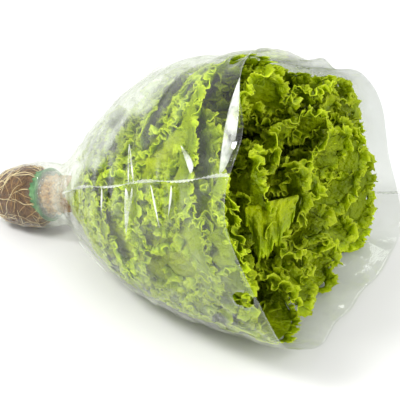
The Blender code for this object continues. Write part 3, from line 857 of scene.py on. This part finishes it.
def frill_points(leaf, line, lean, step, rows_high):
    """A curled frill on one line of a leaf, as rows of points from its foot to its toothed edge."""
    draw = leaf.draw
    steps = np.linalg.norm(np.diff(leaf.point(*line), axis=0), axis=-1)
    run = np.concatenate([[0.0], np.cumsum(steps)])
    columns = int(run[-1] / step)
    distance = np.linspace(0.0, run[-1], columns)
    line = [np.interp(distance, run, part) for part in line]
    base = leaf.point(*line)
    along = unit(np.gradient(base, axis=0))
    normal = leaf.normal(*line)
    outward = unit(np.cross(normal, along))
    tilt = lean + 0.7 * wander(draw, distance, 0.03)
    stand = outward * np.cos(tilt)[:, None] + normal * np.sin(tilt)[:, None]
    across = unit(np.cross(along, stand))

    rows = np.linspace(0.0, 1.0, rows_high)[:, None]
    fade = smooth(np.minimum(distance, run[-1] - distance) / 0.014)
    tall = FRILL_HEIGHT * (0.20 + 0.80 * fade) * (1 + 0.40 * wander(draw, distance, 0.02))
    phase = 2 * math.pi * distance / RUFFLE_PITCH + 2.2 * wander(draw, distance, 0.025)
    phase = phase + draw.uniform(0, 6.28)
    swing = RUFFLE_SWING * (0.35 + 0.65 * fade) * (1 + 0.35 * wander(draw, distance, 0.04))
    rise = tall * rows * (1 - 0.20 * rows * np.sin(phase) ** 2) - 0.0004
    sway = swing * rows**1.2 * np.sin(phase)
    slide = -0.36 * swing * rows * np.sin(2 * phase)
    points = base + stand * rise[..., None] + across * sway[..., None] + along * slide[..., None]

    edge = np.linalg.norm(np.diff(points[-1], axis=0), axis=-1)
    edge_run = np.concatenate([[0.0], np.cumsum(edge)])
    along = unit(np.gradient(points, axis=1))
    upright = unit(np.gradient(points, axis=0))
    sheer = unit(np.cross(along, upright))
    phase = 2 * math.pi * edge_run / CURL_PITCH + 1.3 * wander(draw, edge_run, 0.015)
    swing = CURL_SWING * (0.3 + 0.7 * fade) * (1 + 0.4 * wander(draw, edge_run, 0.02))
    curl = swing * rows**1.5 * np.sin(phase)
    tooth = np.where(np.arange(columns) % 2, 0.0012, -0.0003)
    tooth = tooth * draw.uniform(0.2, 1.2, columns) * (rows > 0.99)
    points = points + sheer * curl[..., None] + upright * tooth[..., None]
    points = points - along * (0.3 * swing * rows * np.sin(2 * phase))[..., None]
    # Outward runs from 0.62 at a frill's foot to 1 at its edge: the leaf's ramp paints painted shade at the
    # foot and painted highlight at the edge.
    return pressed_inside(points), np.broadcast_to(0.62 + 0.38 * rows, points.shape[:2])


def blade_points(leaf):
    """The blade itself, as rows of points from the midrib to the margin's foot."""
    draw = leaf.draw
    place = np.linspace(-1.0, 1.0, BLADE_COLUMNS)
    out = 1 - (1 - np.linspace(0.0, 1.0, BLADE_ROWS)[:, None]) ** 1.30
    length, sideways = leaf.outline(place)
    rib = 0.80 * (1 - np.abs(place))
    length = rib * (1 - out) + length * out * 0.985
    sideways = sideways * out * 0.97
    keel = 0.0016 * (1 - smooth(np.abs(sideways) / 0.007)) * (1 - 0.5 * length)
    frilled = smooth((length - 0.25) / 0.3)
    buckle = 0.0034 * frilled * smooth(out) * wander(draw, place * 2 * leaf.blade_length, 0.03)
    blister = 0.0017 * frilled * np.sin(sideways * 520 + 3 * place) * np.sin(length * leaf.blade_length * 480)
    raised = (keel + buckle + blister)[..., None]
    points = leaf.point(length, sideways) + leaf.normal(length, sideways) * raised
    return pressed_inside(points), 0.62 * (0.40 + 0.60 * out) * smooth(length / 0.45)


def leaf_material():
    """A living lettuce leaf: waxy, thin enough to let light through, pale at the rib, lime at the frills."""
    material, output = new_material("coral_lettuce_leaf")
    place = add_node(material, "ShaderNodeTexCoord").outputs["Object"]
    outward = add_node(material, "ShaderNodeAttribute", {"attribute_name": "outward"}).outputs["Fac"]
    tone = add_node(material, "ShaderNodeAttribute", {"attribute_name": "tone"}).outputs["Fac"]
    # The ramp is pale at the rib and lime at the frills; it paints each frill darker at its foot as shade and
    # lighter at its edge as highlight.
    ramp = add_node(material, "ShaderNodeValToRGB", Fac=outward)
    pale_rib = [(0.0, "e6ecb4"), (0.12, "ccd45c"), (0.35, "b1c026")]
    lime_frill_painted_shade_and_highlight = [(0.64, "93a815"), (0.82, "aec41c"), (1.0, "d9e755")]
    set_ramp(ramp, pale_rib + lime_frill_painted_shade_and_highlight)
    patches = add_node(material, "ShaderNodeTexNoise", Vector=place, Scale=70.0, Detail=3.0, Roughness=0.55)
    amount = add_node(
        material, "ShaderNodeMapRange", Value=patches, From_Min=0.42, From_Max=0.66, To_Min=0.0, To_Max=0.6
    )
    dark = add_node(
        material, "ShaderNodeMix", {"data_type": "RGBA", "blend_type": "MULTIPLY"},
        i0=amount, i6=ramp, i7=srgb("a8b468"),
    )
    shade = add_node(material, "ShaderNodeHueSaturation", Saturation=1.08, Value=tone, Color=dark.outputs[2])
    # The net of small veins is 4 mm wide, and the blade blisters between them.
    veins = add_node(
        material, "ShaderNodeTexVoronoi", {"feature": "DISTANCE_TO_EDGE"}, Vector=place, Scale=260.0
    )
    blisters = add_node(material, "ShaderNodeTexNoise", Vector=place, Scale=420.0, Detail=2.0)
    height = add_node(
        material, "ShaderNodeMath", {"operation": "MULTIPLY_ADD"}, i0=veins, i1=1.5, i2=blisters
    )
    fine = add_node(material, "ShaderNodeBump", Strength=0.45, Distance=0.0006, Height=height)
    pucker = add_node(material, "ShaderNodeTexNoise", Vector=place, Scale=260.0, Detail=2.0, Roughness=0.55)
    bump = add_node(material, "ShaderNodeBump", Strength=0.8, Distance=0.0042, Height=pucker, Normal=fine)
    skin = add_node(
        material, "ShaderNodeBsdfPrincipled",
        Base_Color=shade, Roughness=0.42, Normal=bump, Specular_IOR_Level=0.32,
    )
    through = add_node(material, "ShaderNodeBsdfTranslucent", Color=shade, Normal=bump)
    both = add_node(material, "ShaderNodeMixShader", i0=0.42, i1=skin, i2=through)
    material.node_tree.links.new(both.outputs[0], output.inputs["Surface"])
    return material


def lines_of(leaf, rings, folds, outside_shows):
    """The lines of a leaf that carry a frill, each with its lean, its step and its rows of points."""
    lines = [(ring_line(leaf, fraction), lean, MARGIN_STEP, 4) for fraction, lean in rings]
    for k in range(folds):
        place = 0.56 * (2 * (k + leaf.draw.uniform(0.2, 0.8)) / folds - 1)
        lean = FOLD_LEAN if outside_shows or k % 2 else -FOLD_LEAN
        lines.append((fold_line(leaf, place), lean, CREST_STEP, 3))
    return lines


def make_layer(draw, material, first, name, count, tips, shells, half_width, tones, rings, folds):
    """One layer of leaves as one piece. The number of its first leaf gives their places in the spiral."""
    whole = bmesh.new()
    low = tips[0] < 0.2
    outer = shells[0] > 0.9
    for number in range(first, first + count):
        share = (number - first) / (count - 1)
        turn = GOLDEN_TURN * number + draw.uniform(-0.12, 0.12)
        tip = tips[0] + (tips[1] - tips[0]) * share + draw.uniform(-1, 1) * (0.016 if outer else 0.002)
        if not low:  # the upper leaves are longer on the far side, at 20 degrees, and on the near one, at 165
            tip += 0.016 * math.exp(-((angle_gap(turn, math.radians(20)) / 0.8) ** 2))
            tip += 0.010 * math.exp(-((angle_gap(turn, math.radians(165)) / 0.5) ** 2))
        leaf = Leaf(
            draw,
            turn=turn,
            shell=shells[0] + (shells[1] - shells[0]) * share,
            start=STEM_START + STEM_LENGTH * number / 60,
            end=tip,
            half_width=half_width * draw.uniform(0.92, 1.08),
        )
        tone = draw.uniform(*tones)
        outside_shows = outer and (low or abs(angle_gap(turn, WELD_TURN)) < 1.7)
        sheets = [blade_points(leaf)]
        for line, lean, step, rows_high in lines_of(leaf, rings, folds, outside_shows):
            sheets.append(frill_points(leaf, line, lean, step * COARSER, rows_high))
        for points, outward in sheets:
            add_sheet(whole, sheet_of(points, outward=outward, tone=np.full(outward.shape, tone)))
    leaves = mesh_piece(name, whole, [material], ["lettuce_head"])
    thicken(leaves, BLADE_THICKNESS)


living_leaf = leaf_material()
spiral_draw = np.random.default_rng(5)
leaves_made = 0
for layer in LEAF_LAYERS:
    make_layer(spiral_draw, living_leaf, leaves_made, **layer)
    leaves_made += layer["count"]


# The folded leaf: one leaf of the head that the mouth of the sleeve has bent over.
# It has a straight fold on top, and its smooth blade hangs from there to its frill.
FOLDED_EDGE = np.array([(0.1006, -0.0785, 0.1212), (0.1211, -0.0402, 0.1141)])
FOLDED_COLUMNS = 84
FOLDED_ROWS = 27
FOLDED_DROP = np.array([  # share of the fold's length, how far the blade hangs from it
    (0.0, 0.006), (0.12, 0.019), (0.35, 0.036), (0.5, 0.031), (0.65, 0.027), (0.8, 0.021), (1.0, 0.005),
])


def make_folded_leaf(material):
    draw = np.random.default_rng(21)
    share = np.linspace(0.0, 1.0, FOLDED_COLUMNS)
    down = np.linspace(0.0, 1.0, FOLDED_ROWS)[:, None]
    hang = unit(np.array([0.23, -0.48, -0.85]))
    face = unit(np.array([0.37, -0.76, 0.53]))
    top = FOLDED_EDGE[0] + (FOLDED_EDGE[1] - FOLDED_EDGE[0]) * share[:, None]
    run = share * np.linalg.norm(FOLDED_EDGE[1] - FOLDED_EDGE[0])
    drop = curve_through(FOLDED_DROP, share) * down
    phase = 2 * math.pi * run / 0.0095 + 1.5 * wander(draw, run, 0.03)
    belly = 0.0050 * np.sin(math.pi * down**0.7) - 0.006 * down**2
    pleats = 0.0040 * (0.15 + 0.85 * down) * np.sin(phase + 1.6 * np.sin(3.1 * down + run * 60))
    curl = 2 * math.pi * run / 0.0036
    curls = 0.0014 * down**2 * np.sin(curl + 2 * np.sin(phase) + 5 * down)
    blisters = 0.0013 * np.sin(run * 560 + 4 * np.sin(6 * down)) * np.sin(drop * 520 + 3 * np.sin(run * 210))
    teeth = np.where(np.arange(FOLDED_COLUMNS) % 2, 0.0014, 0.0)
    teeth = teeth * draw.uniform(0.3, 1.2, FOLDED_COLUMNS) * (down > 0.99)
    out = belly + pleats + curls + blisters
    scallops = 0.0026 * down**2 * np.sin(phase + 1.2) + 0.0011 * down**3 * np.sin(curl)
    points = top + hang * (drop + teeth + scallops)[..., None] + face * out[..., None]
    # Its tone of 1.18 is painted light, bright like the outer leaves, and its hanging edge is painted lighter
    # as highlight.
    outward = np.broadcast_to(0.30 + 0.62 * down**2, drop.shape)
    blade = sheet_of(points, outward=outward, tone=np.full(drop.shape, 1.18))
    leaf = mesh_piece("folded_leaf", blade, [material], ["lettuce_head"])
    thicken(leaf, BLADE_THICKNESS)


make_folded_leaf(living_leaf)


# The studio: a pale matt floor that runs past the picture, with soft light from three sides and all round.
# The camera stands on the near side and looks down on the sleeve.
def stage_material():
    material, output = new_material("matt_white_paper")
    paper = add_node(material, "ShaderNodeBsdfPrincipled", Base_Color=srgb("d6d6d5"), Roughness=0.9)
    material.node_tree.links.new(paper.outputs[0], output.inputs["Surface"])
    return material


def make_floor():
    bm = bmesh.new()
    bmesh.ops.create_grid(bm, x_segments=1, y_segments=1, size=6.0)
    mesh = bpy.data.meshes.new("floor")
    bm.to_mesh(mesh)
    bm.free()
    mesh.materials.append(stage_material())
    floor = bpy.data.objects.new("floor", mesh)
    floor.location.z = -0.0002
    bpy.context.scene.collection.objects.link(floor)


def add_light(name, place, target, width, watts):
    light = bpy.data.lights.new(name, "AREA")
    light.shape = "SQUARE"
    light.size = width
    light.energy = watts
    lamp = bpy.data.objects.new(name, light)
    lamp.location = place
    lamp.rotation_euler = (Vector(place) - Vector(target)).to_track_quat("Z", "Y").to_euler()
    bpy.context.scene.collection.objects.link(lamp)


def add_camera():
    """The photograph's view: from the near side, 26 degrees towards the mouth and 32 degrees up."""
    azimuth, elevation, distance = math.radians(26.0), math.radians(32.0), 0.9
    aim = Vector((0.0295, 0.0029, 0.0610))
    level = math.cos(elevation)
    back = Vector((math.sin(azimuth) * level, -math.cos(azimuth) * level, math.sin(elevation)))
    camera = bpy.data.objects.new("camera", bpy.data.cameras.new("camera"))
    camera.data.lens = 112.0
    camera.data.sensor_width = 36.0
    camera.location = aim + back * distance
    camera.rotation_euler = back.to_track_quat("Z", "Y").to_euler()
    bpy.context.scene.collection.objects.link(camera)
    bpy.context.scene.camera = camera


def light_world():
    world = bpy.data.worlds.new("studio")
    bpy.context.scene.world = world
    world.use_nodes = True
    world.node_tree.nodes["Background"].inputs["Color"].default_value = srgb("ffffff")
    world.node_tree.nodes["Background"].inputs["Strength"].default_value = 1.0


make_floor()
light_world()
add_light("key_softbox", (-0.45, -0.55, 1.0), (0.02, 0.0, 0.08), width=0.30, watts=11.5)
add_light("side_softbox", (0.95, -0.45, 0.65), (0.05, 0.0, 0.08), width=0.40, watts=6.0)
add_light("back_softbox", (0.10, 0.95, 0.75), (0.02, 0.0, 0.10), width=0.50, watts=3.5)
add_camera()
bpy.context.scene.view_settings.view_transform = "Standard"
